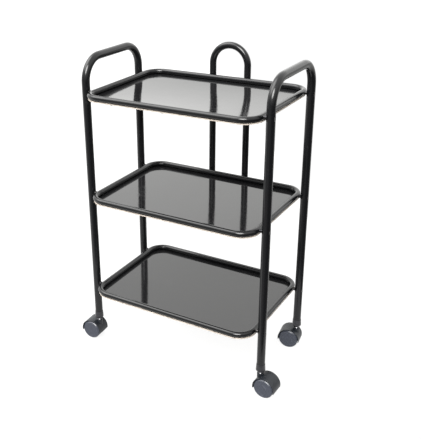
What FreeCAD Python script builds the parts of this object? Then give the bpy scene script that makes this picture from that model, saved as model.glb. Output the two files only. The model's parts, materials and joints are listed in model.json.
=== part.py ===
import FreeCAD, Part
import math
import os
from FreeCAD import Vector

# Rolling salon trolley: two bent tube side frames, three rimmed trays, a rear loop
# and four twin-wheel casters.
# Lengths are in millimetres. +Z is up, +X is the trolley's right and +Y its rear.
# The floor is z = 0, and the origin lies under the middle of the overall footprint.

# ---- side frames and rear loop: steel tube ----
TUBE_RADIUS = 11.0
LOOP_TUBE_RADIUS = 9.5
TUBE_WALL = 1.2
LEG_X = 261.5
LEG_Y = 125.0
HANDLE_BEND_RADIUS = 62.0
HANDLE_HEIGHT_OVER_LOWER_RIM = 655.2
LOOP_HALF_SPACING = 53.0
LOOP_HEIGHT_OVER_LOWER_RIM = 658.5
LOOP_END_BELOW_MIDDLE_RIM = 16.0
PLUG_FLANGE = 3.0
PLUG_FLANGE_BEVEL = 1.5
PLUG_DEPTH = 7.0
PLUG_TAPER = 0.25

# ---- trays ----
LOWER_RIM_HEIGHT = 184.0
TRAY_SPACING = 285.0
BOARD_LENGTH = 487.0
BOARD_DEPTH = 349.0
BOARD_CORNER_RADIUS = 49.5
BOARD_THICKNESS = 2.5
BOARD_EDGE_ROUND = 1.0
LAMINATE_THICKNESS = 0.5
LAMINATE_INSET = 1.5
RIM_RADIUS = 7.5
RIM_WALL = 1.0
RIM_OVERHANG = 2.5
FRONT_SCREW_SPACING = 150.0
SIDE_SCREW_SPACING = 140.0
TRAY_NAMES = ("lower", "middle", "top")

# ---- fasteners ----
SCREW_RADIUS = 2.5
SCREW_HEAD_RADIUS = 4.4
SCREW_HEAD_RIM = 0.3
SCREW_TIP_BEVEL = 0.5
HEX_RECESS_RADIUS = 1.5
HEX_RECESS_DEPTH = 1.0
SCREW_SEAT_DEPTH = 2.6
SCREW_HOLE_RADIUS = 2.75
SCREW_SEAT_FIT = 0.05
DIMPLE_RADIUS = 6.4
DIMPLE_GROWTH = (DIMPLE_RADIUS - SCREW_HOLE_RADIUS) / SCREW_SEAT_DEPTH
SPACER_RADIUS = 5.0
INSERT_RADIUS = 3.6
INSERT_LENGTH = 9.0
INSERT_RECESS = 1.0
THREAD_FIT = 0.05
BOARD_SCREW_RADIUS = 1.75
BOARD_SCREW_HEAD_RADIUS = 3.6
BOARD_SCREW_HEAD_HEIGHT = 2.0
BOARD_SCREW_HEAD_BEVEL = 0.8
BOARD_SCREW_TIP_OVER_BOARD = 5.0

# ---- casters ----
WHEEL_RADIUS = 27.2
WHEEL_INNER_FACE = 6.6
WHEEL_OUTER_FACE = 22.0
WHEEL_FACE_THICKNESS = 3.0
WHEEL_RIM_THICKNESS = 3.5
WHEEL_HUB_RADIUS = 6.5
WHEEL_FACE_BEVEL = 2.5
WHEEL_EDGE_BEVEL = 0.6
WHEEL_BORE_END_GAP = 0.4
TRAIL = 18.0
AXLE_RADIUS = 3.0
AXLE_HALF_LENGTH = 17.2
RUNNING_CLEARANCE = 0.06
HOOD_RADIUS = 30.8
HOOD_WALL = 2.0
HOOD_HALF_WIDTH = 21.4
HOOD_WEB_HALF_WIDTH = 6.0
HOOD_BOSS_RADIUS = 9.0
HOOD_BOSS_TOP = 59.4
HOOD_BOSS_BOTTOM = 22.0
HOOD_REAR_EDGE_BELOW_AXLE = 6.0
PIN_RADIUS = 4.0
PIN_BOTTOM = 26.0
PIN_BEVEL = 0.7
PIN_END_GAP = 1.0
STEM_RADIUS = 5.5
STEM_TOP = 100.0
STEM_TOP_BEVEL = 2.0
STEM_SHOULDER_RADIUS = 6.6
STEM_SHOULDER_BOTTOM = 59.8
STEM_SHOULDER_TOP = 61.4
GRIP_RING_HEIGHT = 88.0
GRIP_RING_WIDTH = 3.0
GRIP_RING_DEPTH = 0.6
GRIP_RING_FIT = 0.02
GRIP_RING_SLOT = 1.6

# ---- leg sockets ----
SOCKET_BOTTOM = 65.0
LEG_BOTTOM = 71.0
SOCKET_SLEEVE_TOP = 89.0
SOCKET_FLARE_RADIUS = 12.6
SOCKET_FLARE_HEIGHT = 70.0
SOCKET_FLARE_BAND = 2.0
SOCKET_SLEEVE_WALL = 0.5
SOCKET_SHOULDER_WALL = 0.9
SOCKET_SHOULDER_DROP = 4.0
SOCKET_PLUG_BEVEL = 1.0
SOCKET_FOOT_RADIUS = 9.2
SOCKET_PLUG_TOP = 104.0
SOCKET_FIT = 0.05

# Each caster: x side, y side, and the direction its wheels trail in the pose that the trolley stands in.
CASTERS = {
    "front_left": (-1, -1, 183.0),
    "front_right": (1, -1, 358.0),
    "rear_left": (-1, 1, 197.0),
    "rear_right": (1, 1, 188.0),
}

# ---- worked out from the above ----
X_AXIS = Vector(1, 0, 0)
Y_AXIS = Vector(0, 1, 0)
Z_AXIS = Vector(0, 0, 1)
RIM_HEIGHTS = {name: LOWER_RIM_HEIGHT + i * TRAY_SPACING for i, name in enumerate(TRAY_NAMES)}
RIM_OUTER_X = BOARD_LENGTH / 2 + RIM_OVERHANG
RIM_OUTER_Y = BOARD_DEPTH / 2 + RIM_OVERHANG
RIM_CENTRE_X = RIM_OUTER_X - RIM_RADIUS
RIM_CENTRE_Y = RIM_OUTER_Y - RIM_RADIUS
RIM_CORNER_RADIUS = BOARD_CORNER_RADIUS + RIM_OVERHANG - RIM_RADIUS
LAMINATE_BOTTOM = -RIM_RADIUS - LAMINATE_THICKNESS
BOARD_BOTTOM = LAMINATE_BOTTOM - BOARD_THICKNESS
LEG_TO_RIM_GAP = LEG_X - TUBE_RADIUS - RIM_OUTER_X
LOOP_Y = RIM_OUTER_Y + LEG_TO_RIM_GAP + LOOP_TUBE_RADIUS
ORIGIN_Y = (LOOP_Y + LOOP_TUBE_RADIUS - RIM_OUTER_Y) / 2
CUT_MARGIN = 1.0
FLATNESS = 0.01


def save(name, shape):
    """Write one node, moved so that the origin is under the middle of the footprint."""
    placed = shape.copy()
    placed.translate(Vector(0, -ORIGIN_Y, 0))
    if not placed.isValid():
        raise RuntimeError(name + " is not a valid shape")
    placed.exportStep("parts/" + name + ".step")


def cylinder(radius, start, end):
    """A round bar between two points."""
    along = end - start
    return Part.makeCylinder(radius, along.Length, start, along)


def revolved(profile):
    """A solid turned about the Z axis from (radius, z) corner points."""
    points = [Vector(r, 0, z) for r, z in profile]
    face = Part.Face(Part.makePolygon(points + points[:1]))
    return face.revolve(Vector(0, 0, 0), Z_AXIS, 360)


def quarter_bend(radius, centre, start, axis):
    """A quarter turn of round bar: from the point start about an axis through centre."""
    tangent = axis.cross(start - centre)
    section = Part.Face(Part.Wire(Part.Circle(start, tangent, radius).toShape()))
    return section.revolve(centre, axis, 90)


def u_bar(radius, half_spacing, bottom, top, bend_radius):
    """An inverted U of round bar in the YZ plane, with its centre line at the given height."""
    spring = top - bend_radius
    inner = half_spacing - bend_radius
    pieces = []
    for side in (-1, 1):
        foot = Vector(0, side * half_spacing, bottom)
        shoulder = Vector(0, side * half_spacing, spring)
        pieces.append(cylinder(radius, foot, shoulder))
        centre = Vector(0, side * inner, spring)
        pieces.append(quarter_bend(radius, centre, shoulder, Vector(side, 0, 0)))
    if inner > 0:
        pieces.append(cylinder(radius, Vector(0, -inner, top), Vector(0, inner, top)))
    return pieces[0].multiFuse(pieces[1:]).removeSplitter()


def u_tube(radius, half_spacing, bottom, top, bend_radius):
    """The hollow inverted U: outside bar less the bore, which is open at both feet."""
    outside = u_bar(radius, half_spacing, bottom, top, bend_radius)
    bore = u_bar(radius - TUBE_WALL, half_spacing, bottom - CUT_MARGIN, top, bend_radius)
    return outside, outside.cut(bore)


def screw_seat(tube, outside, radius, face, outward):
    """Press a conical dimple into a tube at the point face, and drill through both walls behind it."""
    inward = outward * -1
    start = face + outward * CUT_MARGIN
    mouth = DIMPLE_RADIUS + DIMPLE_GROWTH * CUT_MARGIN
    depth = SCREW_SEAT_DEPTH + CUT_MARGIN
    dimple = Part.makeCone(mouth, SCREW_HOLE_RADIUS, depth, start, inward)
    backed_mouth = mouth + TUBE_WALL
    backed_hole = SCREW_HOLE_RADIUS + TUBE_WALL
    backing = Part.makeCone(backed_mouth, backed_hole, depth + TUBE_WALL, start, inward)
    hole = cylinder(SCREW_HOLE_RADIUS, start, face + inward * (2 * radius + CUT_MARGIN))
    return tube.fuse(backing.common(outside)).cut(dimple).cut(hole)


def side_frame(side):
    """One bent tube: two legs and the handle that joins them over the top tray."""
    top = LOWER_RIM_HEIGHT + HANDLE_HEIGHT_OVER_LOWER_RIM
    outside, tube = u_tube(TUBE_RADIUS, LEG_Y, LEG_BOTTOM, top, HANDLE_BEND_RADIUS)
    for z in RIM_HEIGHTS.values():
        for y in (-LEG_Y, LEG_Y):
            face = Vector(side * TUBE_RADIUS, y, z)
            tube = screw_seat(tube, outside, TUBE_RADIUS, face, X_AXIS * side)
    tube.translate(Vector(side * LEG_X, 0, 0))
    return tube


def loop_frame_to_place(shape):
    """Turn a U made in the YZ plane to stand across the rear of the trays."""
    shape.rotate(Vector(0, 0, 0), Z_AXIS, 90)
    shape.translate(Vector(0, LOOP_Y, 0))
    return shape


def loop_bottom():
    return RIM_HEIGHTS["middle"] - LOOP_END_BELOW_MIDDLE_RIM


def rear_loop():
    """The narrow round-topped loop that stands behind the top and middle trays."""
    top = LOWER_RIM_HEIGHT + LOOP_HEIGHT_OVER_LOWER_RIM
    outside, tube = u_tube(LOOP_TUBE_RADIUS, LOOP_HALF_SPACING, loop_bottom(), top, LOOP_HALF_SPACING)
    for z in (RIM_HEIGHTS["middle"], RIM_HEIGHTS["top"]):
        for y in (-LOOP_HALF_SPACING, LOOP_HALF_SPACING):
            face = Vector(LOOP_TUBE_RADIUS, y, z)
            tube = screw_seat(tube, outside, LOOP_TUBE_RADIUS, face, X_AXIS)
    return loop_frame_to_place(tube)


def loop_end_plugs():
    """Plastic plugs that close the loop's two open ends."""
    outer = LOOP_TUBE_RADIUS
    bore = outer - TUBE_WALL - SOCKET_FIT
    profile = [
        (0, -PLUG_FLANGE),
        (outer - PLUG_FLANGE_BEVEL, -PLUG_FLANGE),
        (outer, PLUG_FLANGE_BEVEL - PLUG_FLANGE),
        (outer, 0),
        (bore, 0),
        (bore - PLUG_TAPER, PLUG_DEPTH),
        (0, PLUG_DEPTH),
    ]
    plugs = []
    for side in (-1, 1):
        plug = revolved(profile)
        plug.translate(Vector(side * LOOP_HALF_SPACING, LOOP_Y, loop_bottom()))
        plugs.append(plug)
    return Part.makeCompound(plugs)


def rounded_plate(inset, bottom, thickness):
    """A flat plate with rounded corners, centred on the Z axis, set in from the board's outline."""
    length = BOARD_LENGTH - 2 * inset
    depth = BOARD_DEPTH - 2 * inset
    plate = Part.makeBox(length, depth, thickness, Vector(-length / 2, -depth / 2, bottom))
    upright = [edge for edge in plate.Edges if abs(edge.tangentAt(edge.FirstParameter).z) > 0.99]
    return plate.makeFillet(BOARD_CORNER_RADIUS - inset, upright)


def with_round_top_edge(plate):
    """Round over the upper edge of a plate, all the way round."""
    top = plate.BoundBox.ZMax
    upper = [edge for edge in plate.Edges if edge.BoundBox.ZMin > top - FLATNESS]
    return plate.makeFillet(BOARD_EDGE_ROUND, upper)


def rim_bar(radius):
    """A closed rounded rectangle of round bar at height zero."""
    flat_x = RIM_CENTRE_X - RIM_CORNER_RADIUS
    flat_y = RIM_CENTRE_Y - RIM_CORNER_RADIUS
    pieces = []
    for side in (-1, 1):
        y = side * RIM_CENTRE_Y
        pieces.append(cylinder(radius, Vector(-flat_x, y, 0), Vector(flat_x, y, 0)))
        x = side * RIM_CENTRE_X
        pieces.append(cylinder(radius, Vector(x, -flat_y, 0), Vector(x, flat_y, 0)))
    for x_side, y_side in ((1, 1), (-1, 1), (-1, -1), (1, -1)):
        centre = Vector(x_side * flat_x, y_side * flat_y, 0)
        start = Vector(x_side * RIM_CENTRE_X, y_side * flat_y, 0)
        pieces.append(quarter_bend(radius, centre, start, Vector(0, 0, x_side * y_side)))
    return pieces[0].multiFuse(pieces[1:]).removeSplitter()


def board_screw_places():
    """Where the screws come up through a board into its rim, round the rim's centre line."""
    half = SIDE_SCREW_SPACING / 2
    long_sides = []
    for x in (-FRONT_SCREW_SPACING, 0.0, FRONT_SCREW_SPACING):
        long_sides += [(x, -RIM_CENTRE_Y), (x, RIM_CENTRE_Y)]
    short_sides = []
    for y in (-half, half):
        short_sides += [(-RIM_CENTRE_X, y), (RIM_CENTRE_X, y)]
    return long_sides + short_sides


def tray_fixings(name):
    """The points on a rim's outer face where a leg or the loop is screwed on, with the way out."""
    z = RIM_HEIGHTS[name]
    legs = [(Vector(s * RIM_OUTER_X, y, z), X_AXIS * s) for s in (-1, 1) for y in (-LEG_Y, LEG_Y)]
    loops = []
    if name != "lower":
        loops = [(Vector(x, RIM_OUTER_Y, z), Y_AXIS) for x in (-LOOP_HALF_SPACING, LOOP_HALF_SPACING)]
    return legs, loops


def tray_rim(name):
    """The raised tube rim of one tray, drilled for its inserts and board screws."""
    rim = rim_bar(RIM_RADIUS).cut(rim_bar(RIM_RADIUS - RIM_WALL))
    for x, y in board_screw_places():
        under = Vector(x, y, -RIM_RADIUS - CUT_MARGIN)
        rim = rim.cut(cylinder(BOARD_SCREW_RADIUS, under, Vector(x, y, 0)))
    rim.translate(Vector(0, 0, RIM_HEIGHTS[name]))
    legs, loops = tray_fixings(name)
    for face, outward in legs + loops:
        middle = face - outward * RIM_RADIUS
        rim = rim.cut(cylinder(INSERT_RADIUS, middle, face + outward * CUT_MARGIN))
    return rim


def drilled_for_board_screws(plate, name):
    """Drill a plate made at height zero for the board screws and lift it to its tray."""
    for x, y in board_screw_places():
        under = Vector(x, y, plate.BoundBox.ZMin - CUT_MARGIN)
        plate = plate.cut(cylinder(BOARD_SCREW_RADIUS, under, Vector(x, y, 0)))
    plate.translate(Vector(0, 0, RIM_HEIGHTS[name]))
    return plate


def tray_laminate(name):
    """The gloss face of a tray, which ends under the rim so that the board's raw border shows."""
    plate = rounded_plate(LAMINATE_INSET, LAMINATE_BOTTOM, LAMINATE_THICKNESS)
    return drilled_for_board_screws(plate, name)


def tray_board(name):
    """The fibreboard under the laminate, with its upper edge rounded over."""
    plate = with_round_top_edge(rounded_plate(0, BOARD_BOTTOM, BOARD_THICKNESS))
    return drilled_for_board_screws(plate, name)


def board_screws(name):
    """The pan-head screws under one board."""
    underside = BOARD_BOTTOM
    head_bottom = underside - BOARD_SCREW_HEAD_HEIGHT
    crown = BOARD_SCREW_HEAD_RADIUS - BOARD_SCREW_HEAD_BEVEL
    tip = -RIM_RADIUS + BOARD_SCREW_TIP_OVER_BOARD
    profile = [
        (0, head_bottom),
        (crown, head_bottom),
        (BOARD_SCREW_HEAD_RADIUS, head_bottom + BOARD_SCREW_HEAD_BEVEL),
        (BOARD_SCREW_HEAD_RADIUS, underside),
        (BOARD_SCREW_RADIUS, underside),
        (BOARD_SCREW_RADIUS, tip - BOARD_SCREW_RADIUS),
        (0, tip),
    ]
    screws = []
    for x, y in board_screw_places():
        screw = revolved(profile)
        screw.translate(Vector(x, y, RIM_HEIGHTS[name]))
        screws.append(screw)
    return Part.makeCompound(screws)


def along(shape, face, outward):
    """Move a part made up the Z axis so that its z = 0 is at face and its +Z points outward."""
    turn = FreeCAD.Rotation(Z_AXIS, outward)
    shape.Placement = FreeCAD.Placement(face, turn)
    return shape


def machine_screw(tube_radius):
    """A countersunk screw whose head sits in the tube's dimple; z = 0 is the rim's outer face."""
    span = LEG_TO_RIM_GAP + 2 * tube_radius
    seat = span - SCREW_SEAT_DEPTH
    neck = SCREW_HOLE_RADIUS - SCREW_SEAT_FIT
    head_edge = seat + (SCREW_HEAD_RADIUS - neck) / DIMPLE_GROWTH
    head_top = head_edge + SCREW_HEAD_RIM
    tip = SCREW_TIP_BEVEL - INSERT_LENGTH
    profile = [
        (0, tip),
        (SCREW_RADIUS - SCREW_TIP_BEVEL, tip),
        (SCREW_RADIUS, tip + SCREW_TIP_BEVEL),
        (SCREW_RADIUS, seat),
        (neck, seat),
        (SCREW_HEAD_RADIUS, head_edge),
        (SCREW_HEAD_RADIUS - SCREW_HEAD_RIM, head_top),
        (0, head_top),
    ]
    screw = revolved(profile)
    floor = Vector(0, 0, head_top - HEX_RECESS_DEPTH)
    recess = Part.makeCylinder(HEX_RECESS_RADIUS, HEX_RECESS_DEPTH + CUT_MARGIN, floor)
    return screw.cut(recess)


def threaded_insert():
    """A threaded sleeve let into the rim tube; z = 0 is the rim's outer face."""
    length = INSERT_LENGTH - INSERT_RECESS
    inner_end = Vector(0, 0, -INSERT_LENGTH)
    sleeve = Part.makeCylinder(INSERT_RADIUS, length, inner_end)
    return sleeve.cut(Part.makeCylinder(SCREW_RADIUS + THREAD_FIT, length, inner_end))


def spacer(rim_direction, tube_radius):
    """A saddle-ended sleeve between a rim and a leg; z = 0 is the rim's outer face."""
    reach = LEG_TO_RIM_GAP
    inner_end = Vector(0, 0, -RIM_RADIUS / 2)
    length = reach + RIM_RADIUS / 2 + tube_radius / 2
    sleeve = Part.makeCylinder(SPACER_RADIUS, length, inner_end)
    bore = Part.makeCylinder(SCREW_HOLE_RADIUS, length, inner_end)
    far = 2 * SPACER_RADIUS
    rim_centre = Vector(0, 0, -RIM_RADIUS)
    rim = cylinder(RIM_RADIUS, rim_centre - rim_direction * far, rim_centre + rim_direction * far)
    leg_direction = Z_AXIS.cross(rim_direction)
    leg_centre = Vector(0, 0, reach + tube_radius)
    leg = cylinder(tube_radius, leg_centre - leg_direction * far, leg_centre + leg_direction * far)
    return sleeve.cut(bore).cut(rim).cut(leg)


def fixings(places, maker, *sizes):
    """Identical fasteners at each fixing point."""
    return Part.makeCompound([along(maker(*sizes), face, outward) for face, outward in places])


def spacers(places, tube_radius):
    """Spacers turned so that each saddle follows its rim, which runs level, and its upright leg."""
    made = []
    for face, outward in places:
        turn = FreeCAD.Rotation(Z_AXIS, outward)
        level = Z_AXIS.cross(outward)
        saddle = spacer(turn.inverted().multVec(level), tube_radius)
        made.append(along(saddle, face, outward))
    return Part.makeCompound(made)


def leg_socket():
    """The plastic foot of a leg: a flared sleeve outside the tube and a bored plug inside it."""
    plug = TUBE_RADIUS - TUBE_WALL - SOCKET_FIT
    sleeve = TUBE_RADIUS + SOCKET_FIT
    profile = [
        (STEM_RADIUS + SOCKET_FIT, SOCKET_BOTTOM),
        (SOCKET_FOOT_RADIUS, SOCKET_BOTTOM),
        (SOCKET_FLARE_RADIUS, SOCKET_FLARE_HEIGHT),
        (SOCKET_FLARE_RADIUS, SOCKET_FLARE_HEIGHT + SOCKET_FLARE_BAND),
        (TUBE_RADIUS + SOCKET_SHOULDER_WALL, SOCKET_SLEEVE_TOP - SOCKET_SHOULDER_DROP),
        (TUBE_RADIUS + SOCKET_SLEEVE_WALL, SOCKET_SLEEVE_TOP),
        (sleeve, SOCKET_SLEEVE_TOP),
        (sleeve, LEG_BOTTOM),
        (plug, LEG_BOTTOM),
        (plug, SOCKET_PLUG_TOP - SOCKET_PLUG_BEVEL),
        (plug - SOCKET_PLUG_BEVEL, SOCKET_PLUG_TOP),
        (STEM_RADIUS + SOCKET_FIT, SOCKET_PLUG_TOP),
    ]
    return revolved(profile)


def caster_stem():
    """The steel stem: a pin below, the shoulder over the caster, and the grooved part in the socket."""
    groove = STEM_RADIUS - GRIP_RING_DEPTH
    profile = [
        (0, PIN_BOTTOM),
        (PIN_RADIUS - PIN_BEVEL, PIN_BOTTOM),
        (PIN_RADIUS, PIN_BOTTOM + PIN_BEVEL),
        (PIN_RADIUS, STEM_SHOULDER_BOTTOM),
        (STEM_SHOULDER_RADIUS, STEM_SHOULDER_BOTTOM),
        (STEM_SHOULDER_RADIUS, STEM_SHOULDER_TOP),
        (STEM_RADIUS, STEM_SHOULDER_TOP),
        (STEM_RADIUS, GRIP_RING_HEIGHT),
        (groove, GRIP_RING_HEIGHT),
        (groove, GRIP_RING_HEIGHT + GRIP_RING_WIDTH),
        (STEM_RADIUS, GRIP_RING_HEIGHT + GRIP_RING_WIDTH),
        (STEM_RADIUS, STEM_TOP - STEM_TOP_BEVEL),
        (STEM_RADIUS - STEM_TOP_BEVEL, STEM_TOP),
        (0, STEM_TOP),
    ]
    return revolved(profile)


def grip_ring():
    """The split spring ring in the stem's groove."""
    width = GRIP_RING_WIDTH - 2 * GRIP_RING_FIT
    base = Vector(0, 0, GRIP_RING_HEIGHT + GRIP_RING_FIT)
    inside = STEM_RADIUS - GRIP_RING_DEPTH + GRIP_RING_FIT
    ring = Part.makeCylinder(STEM_RADIUS + GRIP_RING_FIT, width, base)
    ring = ring.cut(Part.makeCylinder(inside, width, base))
    corner = Vector(0, -GRIP_RING_SLOT / 2, GRIP_RING_HEIGHT)
    return ring.cut(Part.makeBox(2 * STEM_RADIUS, GRIP_RING_SLOT, GRIP_RING_WIDTH, corner))


def wheel_axis_bar(radius, inner, outer):
    """A disc about the wheel axis, between two distances to the caster's +Y side."""
    return cylinder(radius, Vector(TRAIL, inner, WHEEL_RADIUS), Vector(TRAIL, outer, WHEEL_RADIUS))


def caster_hood():
    """The moulded hood: a half-round cover over both wheels, a web between them and the stem's boss."""
    inside = HOOD_RADIUS - HOOD_WALL
    cavity_half_width = HOOD_HALF_WIDTH + CUT_MARGIN
    cover = wheel_axis_bar(HOOD_RADIUS, -HOOD_HALF_WIDTH, HOOD_HALF_WIDTH)
    cavity = wheel_axis_bar(inside, -cavity_half_width, cavity_half_width)
    web = wheel_axis_bar(HOOD_RADIUS - HOOD_WALL / 2, -HOOD_WEB_HALF_WIDTH, HOOD_WEB_HALF_WIDTH)
    body = cover.cut(cavity).fuse(web)
    # The moulding ends on a level line just below the axle, so that the wheels reach the floor.
    reach = 4 * HOOD_RADIUS
    lower_edge = WHEEL_RADIUS - HOOD_REAR_EDGE_BELOW_AXLE
    corner = Vector(TRAIL - reach / 2, -reach / 2, lower_edge - reach)
    body = body.cut(Part.makeBox(reach, reach, reach, corner))
    # The boss is full round above the cover and no wider than the web between the wheels.
    boss_bottom = Vector(0, 0, HOOD_BOSS_BOTTOM)
    boss = Part.makeCylinder(HOOD_BOSS_RADIUS, HOOD_BOSS_TOP - HOOD_BOSS_BOTTOM, boss_bottom)
    slab_corner = Vector(-reach / 2, -HOOD_WEB_HALF_WIDTH, 0)
    slab = Part.makeBox(reach, 2 * HOOD_WEB_HALF_WIDTH, HOOD_BOSS_TOP, slab_corner)
    body = body.fuse(boss.common(slab)).fuse(boss.cut(cavity))
    pin_bore_floor = Vector(0, 0, PIN_BOTTOM - PIN_END_GAP)
    body = body.cut(Part.makeCylinder(PIN_RADIUS + RUNNING_CLEARANCE, HOOD_BOSS_TOP, pin_bore_floor))
    axle_hole = wheel_axis_bar(AXLE_RADIUS, -HOOD_HALF_WIDTH, HOOD_HALF_WIDTH)
    return body.cut(axle_hole).removeSplitter()


def caster_axle():
    """The steel axle, fixed in the hood's web."""
    return wheel_axis_bar(AXLE_RADIUS, -AXLE_HALF_LENGTH, AXLE_HALF_LENGTH)


def caster_wheel(side):
    """One plain disc wheel: closed outer face, rim, and a hub bored from inside for the axle."""
    inner = WHEEL_INNER_FACE
    outer = WHEEL_OUTER_FACE
    face_inside = outer - WHEEL_FACE_THICKNESS
    rim_inside = WHEEL_RADIUS - WHEEL_RIM_THICKNESS
    bore = AXLE_RADIUS + RUNNING_CLEARANCE
    bore_end = AXLE_HALF_LENGTH + WHEEL_BORE_END_GAP
    profile = [
        (0, bore_end),
        (bore, bore_end),
        (bore, inner),
        (WHEEL_HUB_RADIUS, inner),
        (WHEEL_HUB_RADIUS, face_inside),
        (rim_inside, face_inside),
        (rim_inside, inner),
        (WHEEL_RADIUS - WHEEL_EDGE_BEVEL, inner),
        (WHEEL_RADIUS, inner + WHEEL_EDGE_BEVEL),
        (WHEEL_RADIUS, outer - WHEEL_FACE_BEVEL),
        (WHEEL_RADIUS - WHEEL_FACE_BEVEL, outer),
        (0, outer),
    ]
    wheel = revolved(profile)
    wheel.rotate(Vector(0, 0, 0), X_AXIS, -90 * side)
    wheel.translate(Vector(TRAIL, 0, WHEEL_RADIUS))
    return wheel


def place_caster(shape, corner):
    """Turn a caster part to its trailing direction and stand it under its leg."""
    x_side, y_side, heading = CASTERS[corner]
    shape.rotate(Vector(0, 0, 0), Z_AXIS, heading)
    shape.translate(Vector(x_side * LEG_X, y_side * LEG_Y, 0))
    return shape


def build_frame():
    save("side_frame_left", side_frame(-1))
    save("side_frame_right", side_frame(1))
    save("rear_loop", rear_loop())
    save("rear_loop_end_plugs", loop_end_plugs())


def build_trays():
    all_loops = []
    for name in TRAY_NAMES:
        legs, loops = tray_fixings(name)
        all_loops += loops
        save(name + "_tray_rim", tray_rim(name))
        save(name + "_tray_laminate", tray_laminate(name))
        save(name + "_tray_board", tray_board(name))
        save(name + "_tray_board_screws", board_screws(name))
        save(name + "_tray_leg_screws", fixings(legs, machine_screw, TUBE_RADIUS))
        save(name + "_tray_leg_spacers", spacers(legs, TUBE_RADIUS))
        save(name + "_tray_threaded_inserts", fixings(legs, threaded_insert))
    save("rear_loop_screws", fixings(all_loops, machine_screw, LOOP_TUBE_RADIUS))
    save("rear_loop_spacers", spacers(all_loops, LOOP_TUBE_RADIUS))
    save("rear_loop_threaded_inserts", fixings(all_loops, threaded_insert))


def build_casters():
    makers = {
        "leg_socket": leg_socket,
        "caster_stem": caster_stem,
        "stem_grip_ring": grip_ring,
        "caster_hood": caster_hood,
        "caster_axle": caster_axle,
        "caster_wheel_left": lambda: caster_wheel(1),
        "caster_wheel_right": lambda: caster_wheel(-1),
    }
    for corner in CASTERS:
        for part, maker in makers.items():
            save(corner + "_" + part, place_caster(maker(), corner))


os.makedirs("parts", exist_ok=True)
build_frame()
build_trays()
build_casters()
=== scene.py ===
import bpy
import json
import math
from mathutils import Matrix, Vector


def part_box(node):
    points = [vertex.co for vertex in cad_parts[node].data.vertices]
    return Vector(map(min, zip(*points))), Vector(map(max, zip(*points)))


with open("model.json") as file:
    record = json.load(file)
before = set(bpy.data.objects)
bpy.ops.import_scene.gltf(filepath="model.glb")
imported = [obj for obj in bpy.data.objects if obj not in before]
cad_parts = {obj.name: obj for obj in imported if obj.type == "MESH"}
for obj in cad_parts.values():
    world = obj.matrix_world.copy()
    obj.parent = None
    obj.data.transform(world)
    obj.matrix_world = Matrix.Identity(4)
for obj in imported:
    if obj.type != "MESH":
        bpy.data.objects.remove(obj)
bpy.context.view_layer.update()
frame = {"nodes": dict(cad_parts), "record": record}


def span(node, axis):
    """The middle and the half length of a node along one axis, in metres."""
    low, high = (corner[axis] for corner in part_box(node))
    return (low + high) / 2, (high - low) / 2


# ---- tray faces: flat, but the laminate reflects as if they hung a little in their rims ----
# The sag is that of the top tray's middle, in metres, and each of the two trays below has a share of it.
TRAY_SPANS = {"X": span("top_tray_laminate", 0), "Y": span("top_tray_laminate", 1)}
MIDDLE_TRAY_Z = span("middle_tray_laminate", 2)[0]
TOP_TRAY_Z = span("top_tray_laminate", 2)[0]
TOP_TRAY_SAG = 0.0072
LOWER_TRAYS_SAG_SHARE = 0.25
SAG_LOST_AT_RIMS = {"X": 0.40, "Y": 1.0}

# ---- camera: place and clip end in metres, angles in degrees, sensor and lens in millimetres ----
CAMERA_PLACE = (0.88609, -1.60981, 1.22776)
CAMERA_AZIMUTH = 32.610
CAMERA_ELEVATION = 22.470
CAMERA_ROLL = -1.3457
CAMERA_SENSOR = 36.0
CAMERA_LENS = 59.314
CAMERA_SHIFT = (0.12749, -0.05824)
CAMERA_CLIP_END = 100.0

# ---- floor: distances from the trolley in metres, towards the viewer and to the viewer's right ----
FLOOR_REACH = 20.0
FLOOR_FRONT = 0.45
FLOOR_RIGHT = 0.50
FLOOR_DARK = (0.085, 0.085, 0.085)
FLOOR_PALE = (0.095, 0.095, 0.095)
FLOOR_ROUGH = 0.9
FLOOR_SHINE = 0.1
FLOOR_GLOW = 0.86
FLOOR_GLOW_COLOUR = (1.0, 1.0, 1.0)

# ---- room: each tone changes between two directions, given as -1 to 1 along up, right or away ----
# Light is relative to the picture's white, and the first value of a pair belongs to the first direction.
ROOM_TINT = (1.0, 1.0, 0.985)
BACKDROP_SEEN = (1.02, 1.02, 1.02)
FAR_WALL_HEIGHT = (0.0, 0.13)
FAR_WALL_LIGHT = (0.85, 2.00)
NEAR_WALL_HEIGHT = (0.0, 0.65)
NEAR_WALL_LIGHT = (0.50, 1.70)
NEAR_GROUND_LEFT_TO_RIGHT = (-0.6, 0.35)
NEAR_GROUND_LIGHT = (0.48, 0.10)
GROUND_TO_WALL = (-0.03, 0.02)
NEAR_TO_FAR = (-0.15, 0.35)

# ---- lamps: the edge is where the light starts and is full, as the cosine of the angle to its middle ----
LAMP_DIRECTION = (-0.515, -0.25, 0.82)
LAMP_EDGE = (0.80, 0.985)
LAMP_LIGHT = 6.5
KEY_DIRECTION = (0.25, -0.72, 0.65)
KEY_EDGE = (0.935, 0.985)
KEY_LIGHT = 22.0

# ---- colours and surface values that the materials use by name ----
NOISE_RANGE = (0.3, 0.7)
EDGE_SAMPLES = 4
EDGE_FLATNESS = (0.82, 0.98)
COAT_BLACK = (0.0035, 0.0036, 0.0042)
COAT_RUBBED = (0.014, 0.014, 0.015)
COAT_DUST = (0.06, 0.06, 0.06)
COAT_IOR = 1.40
LAMINATE_BLACK = (0.006, 0.006, 0.0065)
LAMINATE_SMUDGED = (0.016, 0.016, 0.017)
LAMINATE_DUST = (0.16, 0.16, 0.155)
SCRATCH_RANGE = (0.70, 0.73)
BOARD_DARK = (0.31, 0.272, 0.235)
BOARD_PALE = (0.345, 0.305, 0.267)
BOARD_HANDLED = (0.25, 0.215, 0.175)
BOARD_ROUGH = 0.85
BARE_STEEL = (0.50, 0.49, 0.47)
ZINC = (0.55, 0.54, 0.50)
ZINC_TARNISHED = (0.30, 0.28, 0.24)


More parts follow.
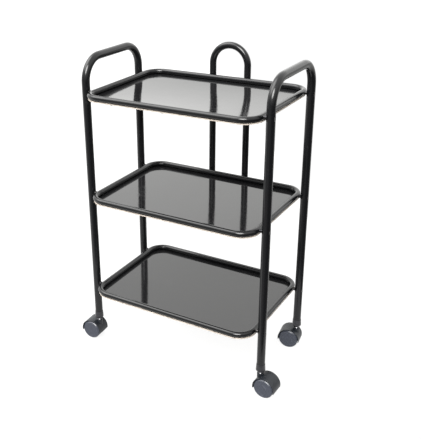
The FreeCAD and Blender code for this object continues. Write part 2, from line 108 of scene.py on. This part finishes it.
# ---- node helpers ----
# A Mix node's factor, first and second input, and its result, by the kind of value that it mixes.
MIX_SOCKETS = {"FLOAT": (0, 2, 3), "RGBA": (0, 6, 7)}
MIX_RESULT = {"FLOAT": 0, "RGBA": 2}
SHADER_INPUTS = {
    "base": "Base Color",
    "rough": "Roughness",
    "metal": "Metallic",
    "normal": "Normal",
    "ior": "IOR",
    "specular": "Specular IOR Level",
    "glow_colour": "Emission Color",
    "glow": "Emission Strength",
}


def feed(tree, socket, value):
    """Link an input to another node's output, or set it to a number, a vector or a colour."""
    if isinstance(value, bpy.types.NodeSocket):
        tree.links.new(value, socket)
    elif socket.type == "RGBA":
        socket.default_value = (*value, 1.0)
    else:
        socket.default_value = value


def add(tree, kind, inputs=None, **settings):
    """A new shader node with its settings and inputs."""
    node = tree.nodes.new(kind)
    for name, value in settings.items():
        setattr(node, name, value)
    for name, value in (inputs or {}).items():
        feed(tree, node.inputs[name], value)
    return node


def noise(tree, place, per_metre, detail=3.0, roughness=0.55, stretch=None):
    """A noise value from 0 to 1, mostly within NOISE_RANGE, with about per_metre features in a metre."""
    if stretch:
        place = add(tree, "ShaderNodeMapping", {"Vector": place, "Scale": stretch}).outputs["Vector"]
    inputs = {"Vector": place, "Scale": per_metre, "Detail": detail, "Roughness": roughness}
    return add(tree, "ShaderNodeTexNoise", inputs).outputs["Fac"]


def remap(tree, value, over, to=(0.0, 1.0), smooth=True):
    """A value's range moved from over to another one, and held there at both ends."""
    inputs = {"Value": value, "From Min": over[0], "From Max": over[1], "To Min": to[0], "To Max": to[1]}
    kind = "SMOOTHSTEP" if smooth else "LINEAR"
    return add(tree, "ShaderNodeMapRange", inputs, interpolation_type=kind).outputs["Result"]


def math_node(tree, operation, first, second):
    """The result of a sum, a product or the like of two values."""
    return add(tree, "ShaderNodeMath", {0: first, 1: second}, operation=operation).outputs[0]


def along(tree, vector, direction):
    """How far a vector runs along a direction."""
    made = add(tree, "ShaderNodeVectorMath", {0: vector, 1: direction}, operation="DOT_PRODUCT")
    return made.outputs["Value"]


def mixed(tree, factor, first, second, kind="RGBA"):
    """A colour between first and second, or a number where the kind is FLOAT."""
    inputs = dict(zip(MIX_SOCKETS[kind], (factor, first, second)))
    return add(tree, "ShaderNodeMix", inputs, data_type=kind).outputs[MIX_RESULT[kind]]


def tinted(tree, base, mask, strength, colour):
    """The base colour, moved towards another colour by strength where the mask is 1."""
    return mixed(tree, math_node(tree, "MULTIPLY", mask, strength), base, colour)


def raised(tree, value, mask, by):
    """A value that is larger by an amount where the mask is 1."""
    return math_node(tree, "ADD", value, math_node(tree, "MULTIPLY", mask, by))


def bump(tree, height, strength, depth, under=None):
    """A normal that follows a height, on top of the normal under it; depth is in metres."""
    inputs = {"Height": height, "Strength": strength, "Distance": depth}
    if under:
        inputs["Normal"] = under
    return add(tree, "ShaderNodeBump", inputs).outputs["Normal"]


def worn_edge(tree, place, reach):
    """1 in rubbed patches along sharp edges, 0 on faces; reach is how far the wear goes, in metres."""
    rounded = add(tree, "ShaderNodeBevel", {"Radius": reach}, samples=EDGE_SAMPLES).outputs["Normal"]
    facing = add(tree, "ShaderNodeNewGeometry").outputs["Normal"]
    edge = remap(tree, along(tree, rounded, facing), EDGE_FLATNESS, to=(1.0, 0.0))
    patches = noise(tree, place, per_metre=160.0, detail=4.0, roughness=0.65)
    return math_node(tree, "MULTIPLY", edge, remap(tree, patches, over=(0.35, 0.60), to=(0.1, 1.0)))


def new_material(name):
    """An empty material with its Principled shader, and the place on the piece as a vector."""
    material = bpy.data.materials.new(name)
    material.use_nodes = True
    tree = material.node_tree
    shader = tree.nodes["Principled BSDF"]
    place = add(tree, "ShaderNodeTexCoord").outputs["Object"]
    return material, tree, shader, place


def wire(tree, shader, **inputs):
    """Give the Principled shader its inputs, by the short names of SHADER_INPUTS."""
    for name, value in inputs.items():
        feed(tree, shader.inputs[SHADER_INPUTS[name]], value)


# ---- materials ----
def powder_coat():
    """Gloss black powder coat on tube: faint orange peel, dust, rubbed spots and rubbed edges."""
    material, tree, shader, place = new_material("gloss_black_powder_coat")
    peel = noise(tree, place, per_metre=420.0, detail=2.0)
    waves = noise(tree, place, per_metre=55.0)
    dust = remap(tree, noise(tree, place, per_metre=900.0, detail=4.0, roughness=0.7), over=(0.66, 0.74))
    rubbed = remap(tree, noise(tree, place, per_metre=38.0, detail=6.0, roughness=0.7), over=(0.60, 0.74))
    rubbed = math_node(tree, "MAXIMUM", rubbed, worn_edge(tree, place, reach=0.0006))
    base = tinted(tree, COAT_BLACK, rubbed, strength=0.45, colour=COAT_RUBBED)
    base = tinted(tree, base, dust, strength=0.25, colour=COAT_DUST)
    rough = raised(tree, remap(tree, waves, NOISE_RANGE, to=(0.13, 0.20)), rubbed, by=0.10)
    normal = bump(tree, waves, strength=0.10, depth=0.0008)
    normal = bump(tree, peel, strength=0.10, depth=0.0002, under=normal)
    wire(tree, shader, base=base, rough=rough, normal=normal, ior=COAT_IOR)
    return material


def board_sag(tree, place):
    """A tray face's height, 0 to -1: lowest in the middle of the top tray, and 0 at its front and rear."""
    parts = add(tree, "ShaderNodeSeparateXYZ", {"Vector": place})
    sag = remap(tree, parts.outputs["Z"], (MIDDLE_TRAY_Z, TOP_TRAY_Z), to=(LOWER_TRAYS_SAG_SHARE, 1.0))
    for axis, (middle, half) in TRAY_SPANS.items():
        across = math_node(tree, "SUBTRACT", parts.outputs[axis], middle)
        across = math_node(tree, "DIVIDE", across, half)
        square = math_node(tree, "MULTIPLY", across, across)
        lost = math_node(tree, "MULTIPLY", square, SAG_LOST_AT_RIMS[axis])
        sag = math_node(tree, "MULTIPLY", sag, math_node(tree, "SUBTRACT", 1.0, lost))
    return math_node(tree, "MULTIPLY", sag, -1.0)


def laminate():
    """Mirror-gloss black laminate with slight waviness, fine scratches, dust and a few smudges."""
    material, tree, shader, place = new_material("gloss_black_laminate")
    waves = noise(tree, place, per_metre=14.0, detail=2.0)
    grain = noise(tree, place, per_metre=160.0)
    smudges = remap(tree, noise(tree, place, per_metre=9.0, detail=5.0, roughness=0.62), over=(0.56, 0.72))
    dust = remap(tree, noise(tree, place, per_metre=1100.0, detail=2.0, roughness=0.6), over=(0.70, 0.76))
    lengthwise = noise(tree, place, per_metre=60.0, detail=2.0, roughness=0.5, stretch=(1.0, 26.0, 1.0))
    crosswise = noise(tree, place, per_metre=50.0, detail=2.0, roughness=0.5, stretch=(22.0, 1.2, 1.0))
    scratches = math_node(
        tree, "MAXIMUM", remap(tree, lengthwise, SCRATCH_RANGE), remap(tree, crosswise, SCRATCH_RANGE)
    )
    base = tinted(tree, LAMINATE_BLACK, smudges, strength=0.30, colour=LAMINATE_SMUDGED)
    base = tinted(tree, base, dust, strength=0.30, colour=LAMINATE_DUST)
    rough = raised(tree, remap(tree, grain, NOISE_RANGE, to=(0.060, 0.085)), smudges, by=0.07)
    rough = raised(tree, rough, scratches, by=0.06)
    hanging = bump(tree, board_sag(tree, place), strength=1.0, depth=TOP_TRAY_SAG)
    normal = bump(tree, waves, strength=0.06, depth=0.002, under=hanging)
    wire(tree, shader, base=base, rough=rough, normal=normal)
    return material


def raw_board():
    """Raw cream fibreboard: fine fibres, darker patches and edges where it is handled."""
    material, tree, shader, place = new_material("raw_fibreboard")
    fibres = noise(tree, place, per_metre=900.0, detail=5.0, roughness=0.7, stretch=(1.0, 1.0, 4.0))
    patches = noise(tree, place, per_metre=22.0, detail=4.0, roughness=0.6)
    base = mixed(tree, remap(tree, fibres, over=(0.35, 0.65)), BOARD_DARK, BOARD_PALE)
    base = mixed(tree, remap(tree, patches, over=(0.50, 0.72), to=(0.0, 0.35)), base, BOARD_HANDLED)
    base = tinted(tree, base, worn_edge(tree, place, reach=0.0008), strength=0.35, colour=BOARD_HANDLED)
    normal = bump(tree, fibres, strength=0.5, depth=0.0003)
    wire(tree, shader, base=base, rough=BOARD_ROUGH, normal=normal)
    return material


def metal(name, colour, tarnished, rough):
    """Plated or ground steel with uneven polish, tarnish and bare edges; rough is a range."""
    material, tree, shader, place = new_material(name)
    grain = noise(tree, place, per_metre=700.0, detail=4.0, roughness=0.6)
    tarnish = noise(tree, place, per_metre=120.0, detail=4.0, roughness=0.65)
    base = mixed(tree, remap(tree, tarnish, over=(0.45, 0.72)), colour, tarnished)
    base = tinted(tree, base, worn_edge(tree, place, reach=0.0003), strength=0.5, colour=BARE_STEEL)
    polish = remap(tree, grain, NOISE_RANGE, to=rough)
    normal = bump(tree, grain, strength=0.15, depth=0.0001)
    wire(tree, shader, base=base, rough=polish, metal=1.0, normal=normal)
    return material


def plastic(name, colour, worn, rough, grain, shine=0.5):
    """Moulded plastic with fine grain, pale scuffs and rubbed edges; rough is a range, grain a strength."""
    material, tree, shader, place = new_material(name)
    pits = noise(tree, place, per_metre=1500.0, roughness=0.6)
    patches = noise(tree, place, per_metre=30.0)
    scuffs = remap(tree, noise(tree, place, per_metre=90.0, detail=6.0, roughness=0.72), over=(0.56, 0.70))
    scuffs = math_node(tree, "MAXIMUM", scuffs, worn_edge(tree, place, reach=0.0005))
    base = tinted(tree, colour, scuffs, strength=0.5, colour=worn)
    polish = raised(tree, remap(tree, patches, NOISE_RANGE, to=rough), scuffs, by=0.12)
    normal = bump(tree, pits, strength=grain, depth=0.0001)
    wire(tree, shader, base=base, rough=polish, normal=normal, specular=shine)
    return material


FINISHES = {
    "frame_black": powder_coat(),
    "laminate_black": laminate(),
    "board_fibre": raw_board(),
    "board_screw_zinc": metal("zinc_board_screw", ZINC, ZINC_TARNISHED, rough=(0.28, 0.45)),
    "insert_steel": metal("zinc_insert", ZINC, ZINC_TARNISHED, rough=(0.28, 0.45)),
    "screw_black": metal(
        "black_oxide_screw", colour=(0.040, 0.040, 0.044), tarnished=(0.10, 0.09, 0.08), rough=(0.30, 0.45)
    ),
    "spacer_black": metal(
        "black_spacer", colour=(0.030, 0.030, 0.033), tarnished=(0.09, 0.085, 0.08), rough=(0.22, 0.36)
    ),
    "stem_chrome": metal(
        "plated_stem", colour=(0.42, 0.42, 0.43), tarnished=(0.25, 0.245, 0.235), rough=(0.12, 0.24)
    ),
    "spring_steel": metal(
        "spring_steel", colour=(0.42, 0.42, 0.42), tarnished=(0.22, 0.21, 0.20), rough=(0.25, 0.40)
    ),
    "axle_steel": metal(
        "ground_axle", colour=(0.55, 0.55, 0.55), tarnished=(0.35, 0.34, 0.33), rough=(0.15, 0.28)
    ),
    "plug_plastic": plastic(
        "black_end_plug",
        colour=(0.012, 0.012, 0.013),
        worn=(0.04, 0.04, 0.04),
        rough=(0.38, 0.50),
        grain=0.25,
    ),
    "socket_plastic": plastic(
        "black_leg_socket",
        colour=(0.006, 0.006, 0.008),
        worn=(0.030, 0.030, 0.034),
        rough=(0.22, 0.32),
        grain=0.25,
    ),
    "hood_nylon": plastic(
        "hood_nylon",
        colour=(0.005, 0.0065, 0.009),
        worn=(0.022, 0.025, 0.031),
        rough=(0.36, 0.48),
        grain=0.30,
        shine=0.32,
    ),
    "wheel_nylon": plastic(
        "wheel_nylon",
        colour=(0.021, 0.024, 0.034),
        worn=(0.070, 0.075, 0.094),
        rough=(0.24, 0.34),
        grain=0.30,
        shine=0.42,
    ),
}

for part in frame["record"]["subparts"]:
    finish = FINISHES[part["material_slot"]]
    for slot in frame["nodes"][part["node"]].material_slots:
        slot.material = finish


# ---- floor, light and camera ----
def view_side(towards_viewer, to_the_right):
    """A level vector that runs so far towards the viewer and so far to the viewer's right."""
    azimuth = math.radians(CAMERA_AZIMUTH)
    towards = Vector((math.sin(azimuth), -math.cos(azimuth), 0.0))
    right = Vector((math.cos(azimuth), math.sin(azimuth), 0.0))
    return towards * towards_viewer + right * to_the_right


def build_floor():
    """A pale floor that glows a little, as a lit table does. It ends in front and to the viewer's right."""
    mesh = bpy.data.meshes.new("floor")
    corners = [
        view_side(-FLOOR_REACH, -FLOOR_REACH),
        view_side(-FLOOR_REACH, FLOOR_RIGHT),
        view_side(FLOOR_FRONT, FLOOR_RIGHT),
        view_side(FLOOR_FRONT, -FLOOR_REACH),
    ]
    mesh.from_pydata(corners, [], [(0, 1, 2, 3)])
    floor = bpy.data.objects.new("floor", mesh)
    bpy.context.scene.collection.objects.link(floor)
    material, tree, shader, place = new_material("pale_floor")
    tone = remap(tree, noise(tree, place, per_metre=1.5), NOISE_RANGE)
    base = mixed(tree, tone, FLOOR_DARK, FLOOR_PALE)
    wire(tree, shader, base=base, rough=FLOOR_ROUGH, specular=FLOOR_SHINE)
    wire(tree, shader, glow_colour=FLOOR_GLOW_COLOUR, glow=FLOOR_GLOW)
    mesh.materials.append(material)


def build_world():
    """A room that is bright behind the trolley and dimmer near the viewer, with two soft round lamps in it.

    The large lamp is high on the left, and the small key lamp is in front. The camera sees a plain backdrop.
    """
    world = bpy.data.worlds.new("studio")
    bpy.context.scene.world = world
    world.use_nodes = True
    tree = world.node_tree
    direction = add(tree, "ShaderNodeTexCoord").outputs["Generated"]
    away = along(tree, direction, view_side(-1.0, 0.0))
    right = along(tree, direction, view_side(0.0, 1.0))
    height = along(tree, direction, (0.0, 0.0, 1.0))
    far_wall = remap(tree, height, FAR_WALL_HEIGHT, to=FAR_WALL_LIGHT)
    near_wall = remap(tree, height, NEAR_WALL_HEIGHT, to=NEAR_WALL_LIGHT, smooth=False)
    near_ground = remap(tree, right, NEAR_GROUND_LEFT_TO_RIGHT, to=NEAR_GROUND_LIGHT)
    near = mixed(tree, remap(tree, height, GROUND_TO_WALL), near_ground, near_wall, kind="FLOAT")
    total = mixed(tree, remap(tree, away, NEAR_TO_FAR), near, far_wall, kind="FLOAT")
    for lamp_direction, edge, full_light in (
        (LAMP_DIRECTION, LAMP_EDGE, LAMP_LIGHT),
        (KEY_DIRECTION, KEY_EDGE, KEY_LIGHT),
    ):
        lamp = remap(tree, along(tree, direction, lamp_direction), edge, to=(0.0, full_light))
        total = math_node(tree, "ADD", total, lamp)
    light = add(tree, "ShaderNodeVectorMath", {0: ROOM_TINT, "Scale": total}, operation="SCALE")
    seen = add(tree, "ShaderNodeLightPath").outputs["Is Camera Ray"]
    light_or_backdrop = mixed(tree, seen, light.outputs["Vector"], BACKDROP_SEEN)
    feed(tree, tree.nodes["Background"].inputs["Color"], light_or_backdrop)


def build_camera():
    """The camera at the photograph's viewing angle."""
    azimuth = math.radians(CAMERA_AZIMUTH)
    elevation = math.radians(CAMERA_ELEVATION)
    roll = math.radians(CAMERA_ROLL)
    back = Vector((
        math.sin(azimuth) * math.cos(elevation),
        -math.cos(azimuth) * math.cos(elevation),
        math.sin(elevation),
    ))
    right = (back * -1).cross(Vector((0, 0, 1))).normalized()
    up = right.cross(back * -1)
    rolled_right = math.cos(roll) * right + math.sin(roll) * up
    rolled_up = math.cos(roll) * up - math.sin(roll) * right
    data = bpy.data.cameras.new("camera")
    data.sensor_width = CAMERA_SENSOR
    data.lens = CAMERA_LENS
    data.shift_x, data.shift_y = CAMERA_SHIFT
    data.clip_end = CAMERA_CLIP_END
    camera = bpy.data.objects.new("camera", data)
    bpy.context.scene.collection.objects.link(camera)
    turn = Matrix((rolled_right, rolled_up, back)).transposed()
    camera.matrix_world = Matrix.Translation(CAMERA_PLACE) @ turn.to_4x4()
    bpy.context.scene.camera = camera


build_floor()
build_world()
build_camera()
bpy.context.scene.view_settings.view_transform = "Standard"
